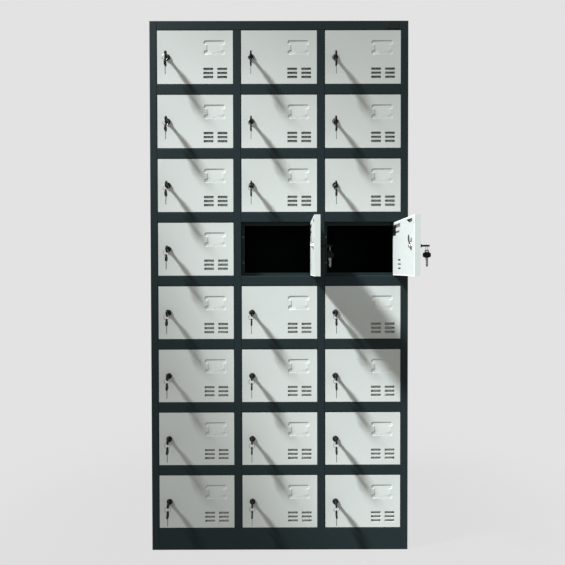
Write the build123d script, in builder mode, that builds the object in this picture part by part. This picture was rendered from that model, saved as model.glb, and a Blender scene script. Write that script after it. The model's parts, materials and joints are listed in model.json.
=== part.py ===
from build123d import *
from math import cos, radians, sin
import os

# Steel locker with twenty-four small compartments, three across and eight high.
# +Z is up, the doors face -Y, and the origin is the middle of the footprint on the floor.
# All sizes are in millimetres.

os.makedirs("parts", exist_ok=True)

# Carcass
width = 900
depth = 420
height = 1850
columns = 3
rows = 8
sheet = 1.0

# Front frame: faces of the uprights and rails, and the rebate that the doors close into
post_width = 25
rail_height = 34
top_rail_height = 31
plinth_height = 77
rebate_depth = 22.5
stop_lip = 11
strip_gap = 0.3
rear_flange = 15

# Door: a tray folded from one sheet, closed at its back by a flush liner of the same sheet
door_thickness = 18
door_gap = 2
door_sheet = 1.0

# Hinge pins: place of the axis from the door's hinge edge and from its face
hinge_setback = 10
hinge_depth = 6
pin_radius = 2.5
pin_clearance = 0.1
pin_reach = 6

# Louvre slots, two columns of three in the lower corner on the hinge side
slot_width = 38
slot_height = 6
slot_column_pitch = 48.5
slot_row_pitch = 15.5
slot_columns = 2
slot_rows = 3
slot_edge = 14.5
slot_foot = 18.5

# Cam lock
lock_edge = 35
bezel_radius = 10.5
bezel_thickness = 3
barrel_radius = 8
barrel_clearance = 0.2
plug_radius = 5
plug_clearance = 0.2
cam_clearance = 1.3
cam_thickness = 2
cam_width = 13
cam_reach = 34

# Keys: one in the lock, a spare on a ring
key_neck = 10
key_head_length = 24
key_head_width = 24
key_head_thickness = 4
key_corner = 6
blade_width = 8
blade_thickness = 2
blade_length = 28
eye_width = 8
eye_length = 4
eye_edge = 3
ring_radius = 9
ring_wire = 1.6
ring_clearance = 0.3

# Small round pieces are drawn with few flats, so that twenty-four doors stay light
flats = 6
bezel_flats = 8

# How far each door that stands open is turned from closed, by row and column from the top left
open_doors = {(4, 2): 88.5, (4, 3): 90.0}

# Worked out from the sizes above
front = -depth / 2
back = depth / 2
opening_width = (width - (columns + 1) * post_width) / columns
opening_height = (
    height - top_rail_height - plinth_height - (rows - 1) * rail_height
) / rows
column_pitch = opening_width + post_width
door_width = opening_width - 2 * door_gap
door_height = opening_height - 2 * door_gap
strip_front = front + rebate_depth
strip_back = strip_front + sheet
back_panel_front = back - 2 * sheet
cam_depth = rebate_depth + sheet + cam_clearance
key_foot = bezel_thickness + key_neck


def opening_left(column):
    """X of the left side of an opening, columns counted from 1 at the left."""
    return -width / 2 + post_width + (column - 1) * column_pitch


def opening_bottom(row):
    """Z of the bottom of an opening, rows counted from 1 at the top."""
    return height - top_rail_height - row * opening_height - (row - 1) * rail_height


def save(piece, name):
    """Label a finished piece and write it to its own file."""
    piece.part.label = name
    export_step(piece.part, f"parts/{name}.step")


# Side panels, each one sheet with a flange turned in behind the back panel
for name, side in (("left_side_panel", -1), ("right_side_panel", 1)):
    outer = side * width / 2
    with BuildPart() as side_panel:
        with BuildSketch(Plane.XY):
            with BuildLine():
                Polyline(
                    (outer, front),
                    (outer - side * sheet, front),
                    (outer - side * sheet, back - sheet),
                    (outer - side * rear_flange, back - sheet),
                    (outer - side * rear_flange, back),
                    (outer, back),
                    close=True,
                )
            make_face()
        extrude(amount=height - sheet)
    save(side_panel, name)

inner_width = width - 2 * sheet

with BuildPart() as top_panel:
    with BuildSketch(Plane.XY.offset(height - sheet)):
        Rectangle(width, depth)
    extrude(amount=sheet)
save(top_panel, "top_panel")

with BuildPart() as base_panel:
    with BuildSketch(Plane.XY):
        with Locations((0, (front + back_panel_front) / 2)):
            Rectangle(inner_width, back_panel_front - front)
    extrude(amount=sheet)
save(base_panel, "base_panel")

with BuildPart() as back_panel:
    with BuildSketch(Plane.XY):
        with Locations((0, back_panel_front + sheet / 2)):
            Rectangle(inner_width, sheet)
    extrude(amount=height - sheet)
save(back_panel, "back_panel")


def channel(length, face, plane):
    """A folded channel, closed at the front, drawn across its face with its back left open."""
    with BuildPart() as folded:
        with BuildSketch(plane):
            Rectangle(face, length)
        extrude(amount=-rebate_depth)
        with BuildSketch(plane.offset(-sheet)):
            Rectangle(face - 2 * sheet, length)
        extrude(amount=-rebate_depth, mode=Mode.SUBTRACT)
    return folded.part


def front_plane(x, z, across):
    """A plane on the front of the locker: x across a channel's face, z out towards -Y."""
    return Plane((x, front, z), x_dir=across, z_dir=(0, -1, 0))


# Uprights: the outer two stand beside the side panels for the full height,
# the inner two between the plinth and the top rail
frame_top = height - sheet
post_top = height - top_rail_height
with BuildPart() as front_posts:
    side_face = post_width - sheet
    for side in (-1, 1):
        x = side * (width / 2 - sheet - side_face / 2)
        middle = front_plane(x, (frame_top + sheet) / 2, (1, 0, 0))
        add(channel(frame_top - sheet, side_face, middle))
    for column in range(2, columns + 1):
        x = opening_left(column) - post_width / 2
        middle = front_plane(x, (post_top + plinth_height) / 2, (1, 0, 0))
        add(channel(post_top - plinth_height, post_width, middle))
save(front_posts, "front_posts")

with BuildPart() as front_rails:
    for low, high in ((sheet, plinth_height), (post_top, frame_top)):
        middle = front_plane(0, (low + high) / 2, (0, 0, 1))
        add(channel(width - 2 * post_width, high - low, middle))
    for column in range(1, columns + 1):
        for row in range(1, rows):
            level = opening_bottom(row) - rail_height / 2
            x = opening_left(column) + opening_width / 2
            add(channel(opening_width, rail_height, front_plane(x, level, (0, 0, 1))))
save(front_rails, "front_rails")

# Stop strips close the backs of the posts and rails and stand out as a lip round each opening
with BuildPart() as stop_strips:
    for column in range(1, columns + 2):
        left = opening_left(column) - post_width - stop_lip
        right = opening_left(column) + stop_lip
        left = max(left, -inner_width / 2)
        right = min(right, inner_width / 2)
        with BuildSketch(Plane.XY.offset(sheet)):
            with Locations(((left + right) / 2, strip_front + sheet / 2)):
                Rectangle(right - left, sheet)
        extrude(amount=frame_top - sheet)
    for column in range(1, columns + 1):
        middle = opening_left(column) + opening_width / 2
        levels = [(opening_bottom(1) + opening_height - stop_lip, frame_top)]
        for row in range(1, rows):
            level = opening_bottom(row)
            levels.append((level - rail_height - stop_lip, level + stop_lip))
        levels.append((sheet, plinth_height + stop_lip))
        for low, high in levels:
            with BuildSketch(Plane.XY.offset(low)):
                with Locations((middle, strip_front + sheet / 2)):
                    Rectangle(opening_width - 2 * (stop_lip + strip_gap), sheet)
            extrude(amount=high - low)
save(stop_strips, "stop_strips")

partition_depth = back_panel_front - strip_back
partition_middle = (back_panel_front + strip_back) / 2
with BuildPart() as partitions:
    for column in range(2, columns + 1):
        with BuildSketch(Plane.XY.offset(sheet)):
            with Locations((opening_left(column) - post_width / 2, partition_middle)):
                Rectangle(sheet, partition_depth)
        extrude(amount=frame_top - sheet)
save(partitions, "partitions")

# One shelf below each opening, at the middle of the rail's face
with BuildPart() as shelves:
    for column in range(1, columns + 1):
        left = opening_left(column) - (post_width - sheet) / 2
        right = left + column_pitch - sheet
        if column == 1:
            left = -inner_width / 2
        if column == columns:
            right = inner_width / 2
        for row in range(1, rows + 1):
            level = opening_bottom(row) - (rail_height + sheet) / 2
            with BuildSketch(Plane.XY.offset(level)):
                with Locations(((left + right) / 2, partition_middle)):
                    Rectangle(right - left, partition_depth)
            extrude(amount=sheet)
save(shelves, "shelves")


def pin_place(row, column):
    """The middle of a door's hinge axis."""
    x = opening_left(column) + opening_width - door_gap - hinge_setback
    return Vector(x, front + hinge_depth, opening_bottom(row) + opening_height / 2)


# Hinge pins, one in the rail above and one in the rail below each door
pin_length = door_gap + pin_reach
with BuildPart() as hinge_pins:
    for column in range(1, columns + 1):
        for row in range(1, rows + 1):
            axis = pin_place(row, column)
            for level in (
                opening_bottom(row),
                opening_bottom(row) + opening_height - pin_length,
            ):
                with BuildSketch(Plane.XY.offset(level)):
                    with Locations((axis.X, axis.Y)):
                        RegularPolygon(pin_radius, flats)
                extrude(amount=pin_length)
save(hinge_pins, "hinge_pins")


def leaf_plane(row, column):
    """A plane on a door's hinge axis: x towards the hinge edge, y up, z out of its face."""
    turn = radians(open_doors.get((row, column), 0))
    outward = (sin(turn), -cos(turn), 0)
    return Plane(pin_place(row, column), x_dir=(cos(turn), sin(turn), 0), z_dir=outward)


def lock_plane(leaf):
    """A plane on a door's outer face, centred on its lock."""
    centre = (hinge_setback - door_width + lock_edge, 0, hinge_depth)
    return Plane(leaf.from_local_coords(centre), x_dir=leaf.x_dir, z_dir=leaf.z_dir)


leaf_middle = hinge_setback - door_width / 2
tray_width = door_width - 2 * door_sheet
tray_height = door_height - 2 * door_sheet


def make_door(row, column):
    """A door: the lined tray with its louvre slots and hinge holes, and its lock's barrel."""
    leaf = leaf_plane(row, column)
    face = leaf.offset(hinge_depth)
    lock = lock_plane(leaf)
    slot_x = hinge_setback - slot_edge - slot_width / 2
    slot_x -= slot_column_pitch * (slot_columns - 1) / 2
    slot_y = -door_height / 2 + slot_foot + slot_height / 2
    slot_y += slot_row_pitch * (slot_rows - 1) / 2
    with BuildPart() as door:
        with BuildSketch(face):
            with Locations((leaf_middle, 0)):
                Rectangle(door_width, door_height)
        extrude(amount=-door_thickness)
        with BuildSketch(face.offset(-door_sheet)):
            with Locations((leaf_middle, 0)):
                Rectangle(tray_width, tray_height)
        extrude(amount=2 * door_sheet - door_thickness, mode=Mode.SUBTRACT)
        with BuildSketch(face):
            with Locations((slot_x, slot_y)):
                with GridLocations(
                    slot_column_pitch, slot_row_pitch, slot_columns, slot_rows
                ):
                    Rectangle(slot_width, slot_height)
        extrude(amount=-door_sheet, mode=Mode.SUBTRACT)
        with BuildSketch(lock):
            RegularPolygon(barrel_radius + barrel_clearance, flats, major_radius=False)
        extrude(amount=-door_thickness, mode=Mode.SUBTRACT)
        axis = pin_place(row, column)
        with BuildSketch(Plane.XY.offset(axis.Z - door_height / 2)):
            with Locations((axis.X, axis.Y)):
                RegularPolygon(pin_radius + pin_clearance, flats, major_radius=False)
        extrude(amount=door_height, mode=Mode.SUBTRACT)
    with BuildPart() as barrel:
        with BuildSketch(lock):
            RegularPolygon(bezel_radius, bezel_flats)
        extrude(amount=bezel_thickness)
        with BuildSketch(lock):
            RegularPolygon(barrel_radius, flats, major_radius=False)
        extrude(amount=-(rebate_depth + sheet + cam_clearance / 2))
        with BuildSketch(lock.offset(bezel_thickness)):
            RegularPolygon(plug_radius + plug_clearance, flats, major_radius=False)
        extrude(amount=-(cam_depth + bezel_thickness), mode=Mode.SUBTRACT)
    return Compound(children=[door.part, barrel.part])


def make_key(plane, blade=0):
    """A key drawn from the end of its head: x along the key, z through its thickness."""
    with BuildPart() as key:
        with BuildSketch(plane.offset(-key_head_thickness / 2)):
            with Locations((key_head_length / 2, 0)):
                head = Rectangle(key_head_length, key_head_width)
            chamfer(head.vertices().sort_by(Axis.X)[:2], key_corner)
            with Locations((eye_edge + eye_length / 2, 0)):
                Rectangle(eye_length, eye_width, mode=Mode.SUBTRACT)
        extrude(amount=key_head_thickness)
        if blade:
            with BuildSketch(plane.offset(-blade_thickness / 2)):
                with Locations((key_head_length + blade / 2, 0)):
                    Rectangle(blade, blade_width)
            extrude(amount=blade_thickness)
    return key.part


def make_lock(row, column):
    """What turns with a key: the plug with the key's neck, the cam, the key, ring and spare."""
    leaf = leaf_plane(row, column)
    lock = lock_plane(leaf)
    turned = (row, column) in open_doors
    with BuildPart() as plug:
        with BuildSketch(lock.offset(key_foot)):
            RegularPolygon(plug_radius, flats)
        extrude(amount=-(cam_depth + key_foot))
    with BuildPart() as cam:
        with BuildSketch(lock.offset(-cam_depth)):
            with Locations((0, (cam_reach - cam_width / 2) / 2)):
                Rectangle(cam_width, cam_reach + cam_width / 2)
        extrude(amount=-cam_thickness)
    head_end = lock.offset(key_foot + key_head_length)
    across = lock.y_dir if turned else lock.x_dir
    key = make_key(Plane(head_end.origin, x_dir=-lock.z_dir, z_dir=across))
    if turned:
        ring_x = (eye_width + key_head_width) / 4
        ring_top = key_head_thickness / 2
    else:
        ring_x = 0
        ring_top = -eye_width / 2
    ring_y = ring_top + ring_clearance - ring_radius
    ring_plane = head_end.offset(-eye_edge - eye_length / 2 - ring_wire / 2)
    with BuildPart() as ring:
        with BuildSketch(ring_plane):
            with Locations((ring_x, ring_y)):
                RegularPolygon(
                    ring_radius + ring_wire,
                    flats,
                    major_radius=False,
                    rotation=90 - 180 / flats,
                )
                RegularPolygon(
                    ring_radius,
                    flats,
                    major_radius=False,
                    rotation=90 - 180 / flats,
                    mode=Mode.SUBTRACT,
                )
        extrude(amount=ring_wire)
    hook = ring_plane.offset(ring_wire / 2).from_local_coords(
        (ring_x, ring_y - ring_radius + eye_edge + ring_clearance, 0)
    )
    spare = make_key(Plane(hook, x_dir=(0, 0, -1), z_dir=leaf.x_dir), blade_length)
    return Compound(children=[plug.part, cam.part, key, ring.part, spare])


for row in range(1, rows + 1):
    for column in range(1, columns + 1):
        door = make_door(row, column)
        door.label = f"door_r{row}c{column}"
        export_step(door, f"parts/{door.label}.step")
        lock = make_lock(row, column)
        lock.label = f"lock_r{row}c{column}"
        export_step(lock, f"parts/{lock.label}.step")
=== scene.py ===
"""Looks of a steel locker with twenty-four compartments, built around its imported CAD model."""

import json
import logging
import math
from collections.abc import Callable, Iterable, Sequence
from dataclasses import dataclass, replace
from enum import Enum

import bmesh
import bpy
from mathutils import Matrix, Vector

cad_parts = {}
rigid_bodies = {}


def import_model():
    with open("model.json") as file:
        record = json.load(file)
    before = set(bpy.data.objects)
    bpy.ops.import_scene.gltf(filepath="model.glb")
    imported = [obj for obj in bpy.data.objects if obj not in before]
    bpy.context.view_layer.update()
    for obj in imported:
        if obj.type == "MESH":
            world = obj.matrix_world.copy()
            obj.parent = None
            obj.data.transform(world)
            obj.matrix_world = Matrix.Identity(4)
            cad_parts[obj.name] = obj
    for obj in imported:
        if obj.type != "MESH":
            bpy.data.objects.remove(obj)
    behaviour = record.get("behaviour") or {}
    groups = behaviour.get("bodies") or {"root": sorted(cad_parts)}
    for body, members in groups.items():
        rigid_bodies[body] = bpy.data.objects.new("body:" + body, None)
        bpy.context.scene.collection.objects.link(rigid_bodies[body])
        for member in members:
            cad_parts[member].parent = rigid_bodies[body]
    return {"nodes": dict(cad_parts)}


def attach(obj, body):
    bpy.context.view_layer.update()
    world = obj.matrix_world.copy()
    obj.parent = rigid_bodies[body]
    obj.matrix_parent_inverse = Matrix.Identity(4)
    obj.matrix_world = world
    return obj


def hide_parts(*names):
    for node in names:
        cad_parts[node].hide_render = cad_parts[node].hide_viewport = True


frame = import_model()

log = logging.getLogger("locker")
MM = 0.001
Point2 = tuple[float, float]
Point3 = tuple[float, float, float]
Colour = tuple[float, float, float]
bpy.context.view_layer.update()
ORIGIN = Matrix.Identity(4).freeze()
X, Y, Z = (Vector(way).freeze() for way in ((1, 0, 0), (0, 1, 0), (0, 0, 1)))
# Points that are nearer than this are taken as level with each other.
TINY = 1e-6


def mm(*points: Point2) -> tuple[Point2, ...]:
    """Points in metres from points in millimetres."""
    return tuple((x * MM, y * MM) for x, y in points)


def grey(level: float) -> tuple[float, ...]:
    """An opaque grey."""
    return (level, level, level, 1.0)


# Shader maths


class Shader:
    """The node tree of one finish or of the world, written as expressions."""

    def __init__(self, holder: bpy.types.Material | bpy.types.World) -> None:
        """Empty the holder's nodes.

        Args:
            holder: the material or world that the nodes belong to.
        """
        self.holder = holder
        holder.use_nodes = True
        self.tree = holder.node_tree
        self.tree.nodes.clear()

    def node(
        self, kind: str, settings: dict[str, object] | None = None, **inputs: object
    ) -> bpy.types.Node:
        """Add a node.

        Args:
            kind: the node's type, such as ShaderNodeTexNoise.
            settings: properties set before the sockets.
            **inputs: socket values or links, by socket name with _ for a space, or by number.

        Returns:
            The new node.
        """
        made = self.tree.nodes.new(kind)
        for key, value in (settings or {}).items():
            setattr(made, key, value)
        for key, value in inputs.items():
            self.feed(made, key.replace("_", " "), value)
        return made

    def feed(self, made: bpy.types.Node, name: str, value: object) -> None:
        """Set or link one input socket.

        Args:
            made: the node.
            name: the socket's name, or its number as text.
            value: a Sock to link, or a plain value.
        """
        socket = made.inputs[int(name)] if name.isdigit() else made.inputs[name]
        if isinstance(value, Sock):
            self.tree.links.new(value.socket, socket)
        else:
            socket.default_value = value

    def out(self, made: bpy.types.Node, name: str = "") -> "Sock":
        """The wrapped output socket of a node, its first one if no name is given."""
        return Sock(self, made.outputs[name] if name else made.outputs[0])

    def mix(self, factor: "Sock", low: object, high: object) -> "Sock":
        """Mix two colours.

        Args:
            factor: 0 for the first colour and 1 for the second.
            low: first colour or link.
            high: second colour or link.

        Returns:
            The mixed colour.
        """
        made = self.node("ShaderNodeMix", {"data_type": "RGBA"}, **{"0": factor})
        for index, colour in (("6", low), ("7", high)):
            self.feed(made, index, colour if isinstance(colour, Sock) else (*colour, 1.0))
        return Sock(self, made.outputs[2])

    def noise(self, scale: float, detail: float = 2.0) -> "Sock":
        """Noise over the piece's own coordinates.

        Args:
            scale: features in a metre.
            detail: octaves.

        Returns:
            The noise, about 0.2 to 0.8.
        """
        place = self.out(self.node("ShaderNodeTexCoord"), "Object")
        made = self.node("ShaderNodeTexNoise", Vector=place, Scale=scale, Detail=detail, Roughness=0.5)
        return self.out(made, "Fac")

    def band(self, value: "Sock", low: float, high: float) -> "Sock":
        """A smooth step.

        Args:
            value: what is stepped.
            low: value at which the result is 0.
            high: value at which the result is 1.

        Returns:
            0 to 1.
        """
        settings = {"interpolation_type": "SMOOTHSTEP"}
        made = self.node("ShaderNodeMapRange", settings, Value=value, From_Min=low, From_Max=high)
        return self.out(made, "Result")

    def bump(self, strength: float, distance: float, scale: float) -> "Sock":
        """Fine relief for a Normal socket, from noise of a scale."""
        made = self.node("ShaderNodeBump", Strength=strength, Distance=distance, Height=self.noise(scale))
        return self.out(made)

    def surface(
        self, tone: "Sock", rough: "Sock", relief: "Sock", **constants: float
    ) -> bpy.types.Material:
        """Finish the material with one Principled surface.

        Args:
            tone: its base colour.
            rough: its roughness.
            relief: its normal.
            **constants: plain values of other sockets, by name with _ for a space.

        Returns:
            The material.
        """
        links = {"Base_Color": tone, "Roughness": rough, "Normal": relief}
        body = self.node("ShaderNodeBsdfPrincipled", **links, **constants)
        self.node("ShaderNodeOutputMaterial", Surface=self.out(body))
        return self.holder

    def blend(self, factor: "Sock", first: bpy.types.Node, second: bpy.types.Node) -> "Sock":
        """Mix two shader nodes: the first where the factor is 0, the second where it is 1."""
        inputs = {"0": factor, "1": self.out(first), "2": self.out(second)}
        return self.out(self.node("ShaderNodeMixShader", **inputs))

    def seen(self) -> "Sock":
        """Tell rays that look from rays that gather light.

        Returns:
            1 where the camera looks, straight or by a mirror or glass, and 0 elsewhere.
        """
        path = self.node("ShaderNodeLightPath")
        kinds = ("Camera", "Glossy", "Transmission")
        straight, mirrored, through = (self.out(path, f"Is {kind} Ray") for kind in kinds)
        return straight.most(mirrored).most(through)


def operator(operation: str, reflected: bool = False) -> Callable[["Sock", object], "Sock"]:
    """An operator of Sock that adds one Math node.

    Args:
        operation: the node's operation.
        reflected: whether the other operand comes first.

    Returns:
        The operator.
    """

    def apply(self: "Sock", other: object) -> "Sock":
        """Add the node and wrap its result.

        Args:
            other: the other operand.

        Returns:
            The result.
        """
        first, second = (other, self) if reflected else (self, other)
        made = self.shader.node("ShaderNodeMath", {"operation": operation}, **{"0": first, "1": second})
        return self.shader.out(made)

    return apply


class Sock:
    """An output socket that takes part in arithmetic."""

    most = operator("MAXIMUM")
    __add__, __radd__ = operator("ADD"), operator("ADD", True)
    __sub__, __rsub__ = operator("SUBTRACT"), operator("SUBTRACT", True)
    __mul__, __rmul__ = operator("MULTIPLY"), operator("MULTIPLY", True)

    def __init__(self, shader: Shader, socket: bpy.types.NodeSocket) -> None:
        """Wrap an output socket of a shader."""
        self.shader = shader
        self.socket = socket


# Finishes


@dataclass(frozen=True)
class PowderCoat:
    """Satin powder coat: fine orange peel, faint clouding, fine specks and a little uneven gloss.

    The shade colour is painted shade: the darker colour of the side that looks out to the front, into the
    compartments, where shade falls.
    """

    name: str
    colour: Colour
    cloud: Colour
    speck: Colour
    roughness: float = 0.45
    peel: float = 0.12
    gloss: float = 0.28
    shade: Colour | None = None

    def make(self) -> bpy.types.Material:
        """Build the material.

        Returns:
            The material.
        """
        s = Shader(bpy.data.materials.new(self.name))
        tone = s.mix(s.band(s.noise(3.2, 3.0), 0.3, 0.75), self.colour, self.cloud)
        tone = s.mix(s.band(s.noise(900.0, 1.0), 0.66, 0.76) * 0.6, tone, self.speck)
        # Painted shade: faces that look to the front, into the compartments, take the darker shade
        # colour.
        if self.shade:
            facing = s.out(s.node("ShaderNodeTexCoord"), "Normal")
            outward = s.out(s.node("ShaderNodeSeparateXYZ", Vector=facing), "Y")
            tone = s.mix(s.band(outward, -0.5, 0.5), self.shade, tone)
        rough = self.roughness + 0.03 * (s.noise(40.0, 3.0) - 0.5)
        return s.surface(tone, rough, s.bump(self.peel, 0.2 * MM, 420.0), Specular_IOR_Level=self.gloss)


@dataclass(frozen=True)
class Plated:
    """Plated or bare metal with fine drawn marks and dulled patches."""

    name: str
    colour: Colour
    dull: Colour
    roughness: float
    metallic: float = 1.0

    def make(self) -> bpy.types.Material:
        """Build the material.

        Returns:
            The material.
        """
        s = Shader(bpy.data.materials.new(self.name))
        tone = s.mix(s.band(s.noise(220.0, 3.0), 0.4, 0.7), self.colour, self.dull)
        rough = self.roughness + 0.18 * (s.noise(500.0) - 0.4)
        return s.surface(tone, rough, s.bump(0.15, 0.1 * MM, 1400.0), Metallic=self.metallic)


@dataclass(frozen=True)
class Moulded:
    """Moulded plastic or rubber with a fine eroded grain."""

    name: str
    colour: Colour
    scuff: Colour
    roughness: float
    gloss: float = 0.5

    def make(self) -> bpy.types.Material:
        """Build the material.

        Returns:
            The material.
        """
        s = Shader(bpy.data.materials.new(self.name))
        tone = s.mix(s.band(s.noise(300.0, 4.0), 0.55, 0.8), self.colour, self.scuff)
        rough = self.roughness + 0.2 * (s.noise(700.0) - 0.5)
        return s.surface(tone, rough, s.bump(0.3, 0.2 * MM, 2200.0), Specular_IOR_Level=self.gloss)


class Finish(Enum):
    """The finishes of the locker."""

    FRAME = PowderCoat(
        "frame_coat",
        (0.0135, 0.0228, 0.0248),
        (0.0142, 0.0238, 0.0258),
        (0.02, 0.031, 0.0335),
        gloss=0.12,
    )
    # The compartments' sheets take the frame's coat darkened to near black, as painted shade inside the
    # compartments.
    INSIDE = PowderCoat(
        "inside_coat_painted_shade",
        (0.004, 0.007, 0.009),
        (0.0043, 0.0074, 0.0094),
        (0.006, 0.009, 0.011),
        roughness=0.6,
        gloss=0.02,
    )
    # The back sheet has the frame's coat outside, and on its face towards the compartments the darkened
    # inside colour as painted shade.
    BACK = replace(FRAME, name="back_sheet_coat", gloss=0.04, shade=INSIDE.colour)
    DOOR = PowderCoat("door_coat", (0.6, 0.628, 0.6), (0.592, 0.62, 0.593), (0.56, 0.585, 0.56), 0.42)
    DARK_PLATE = Plated("dark_plating", (0.013, 0.0137, 0.0145), (0.008, 0.0085, 0.009), 0.38, 0.6)
    NICKEL = Plated("nickel_plating", (0.62, 0.6, 0.56), (0.46, 0.44, 0.41), 0.28)
    BLADE = Plated("key_steel", (0.25, 0.25, 0.245), (0.18, 0.18, 0.176), 0.42)
    ZINC = Plated("dull_zinc", (0.15, 0.145, 0.13), (0.11, 0.106, 0.095), 0.5, 0.3)
    STEEL = Plated("pin_steel", (0.4, 0.4, 0.4), (0.25, 0.25, 0.25), 0.35)
    BLACK = Moulded("black_plastic", (0.004, 0.0042, 0.0046), (0.008, 0.008, 0.008), 0.5, 0.14)
    RUBBER = Moulded("buffer_rubber", (0.12, 0.14, 0.14), (0.2, 0.21, 0.21), 0.7)

    @property
    def material(self) -> bpy.types.Material:
        """The finish's material, made on first use."""
        return bpy.data.materials.get(self.value.name) or self.value.make()


# Outlines and placements


def axes(origin: Sequence[float], x: Sequence[float], y: Sequence[float], z: Sequence[float]) -> Matrix:
    """A placement.

    Args:
        origin: where it is.
        x: its x axis.
        y: its y axis.
        z: its z axis.

    Returns:
        The matrix.
    """
    made = Matrix((x, y, z)).transposed().to_4x4()
    made.translation = Vector(origin)
    return made


def rounded(
    width: float, height: float, radius: float, steps: int = 4, middle: Point2 = (0.0, 0.0)
) -> list[Point2]:
    """A rectangle's outline with round corners.

    Args:
        width: along x.
        height: along y.
        radius: of the corners.
        steps: runs in each corner.
        middle: its centre.

    Returns:
        The outline, anticlockwise.
    """
    points = []
    for quarter, (sx, sy) in enumerate(((1, 1), (-1, 1), (-1, -1), (1, -1))):
        cx = middle[0] + sx * (width / 2 - radius)
        cy = middle[1] + sy * (height / 2 - radius)
        for k in range(steps + 1):
            a = math.pi / 2 * (quarter + k / steps)
            points.append((cx + radius * math.cos(a), cy + radius * math.sin(a)))
    return points


def oval(half_x: float, half_y: float, sides: int, middle: Point2 = (0.0, 0.0)) -> list[Point2]:
    """Points evenly round an oval, or the corners of a regular polygon."""
    turns = [math.tau * k / sides for k in range(sides)]
    return [(middle[0] + half_x * math.cos(a), middle[1] + half_y * math.sin(a)) for a in turns]


def wall_step(inside: float, width: float) -> float:
    """How far down a sloping wall a point is: 0 on the face and 1 on the floor.

    Args:
        inside: how far the point is inside the outline, which is at half of the wall.
        width: of the wall.

    Returns:
        The share, eased at both ends.
    """
    t = max(0.0, min(1.0, inside / width + 0.5))
    return t * t * (3 - 2 * t)


def box_distance(x: float, y: float, half_x: float, half_y: float, radius: float) -> float:
    """Signed distance from a point to a round-cornered box centred on the origin.

    Args:
        x: the point's x.
        y: the point's y.
        half_x: half the box's width.
        half_y: half the box's height.
        radius: of its corners.

    Returns:
        The distance, below 0 inside.
    """
    dx, dy = abs(x) - half_x + radius, abs(y) - half_y + radius
    outside = math.hypot(max(dx, 0.0), max(dy, 0.0))
    return outside + min(max(dx, dy), 0.0) - radius


# Mesh making


@dataclass(frozen=True)
class Fold:
    """A sheet folded along straight runs, in section, with round bends.

    The points are the sheet's outer face, and the sheet lies to the left of their direction.
    """

    points: tuple[Point2, ...]
    sheet: float
    bend: float
    steps: int = 5

    def sides(self) -> tuple[list[Point2], list[Point2]]:
        """Work out both faces of the sheet.

        Returns:
            The points of the outer and of the inner face, in pairs.
        """
        pts = [Vector(p) for p in self.points]
        ways = [(b - a).normalized() for a, b in zip(pts, pts[1:])]
        lefts = [Vector((-way.y, way.x)) for way in ways]
        outer = [tuple(pts[0])]
        inner = [tuple(pts[0] + lefts[0] * self.sheet)]
        for p, before, after, left in zip(pts[1:], ways, ways[1:], lefts):
            side = math.copysign(1.0, before.cross(after))
            radius = self.bend if side > 0 else self.bend - self.sheet
            angle = math.acos(max(-1.0, min(1.0, before.dot(after))))
            start = p - before * (radius * math.tan(angle / 2))
            centre = start + left * side * radius
            for k in range(self.steps + 1):
                arm = Matrix.Rotation(side * angle * k / self.steps, 2) @ (start - centre)
                outer.append(tuple(centre + arm))
                inner.append(tuple(centre + arm * ((radius - side * self.sheet) / radius)))
        outer.append(tuple(pts[-1]))
        inner.append(tuple(pts[-1] + lefts[-1] * self.sheet))
        return outer, inner


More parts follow.
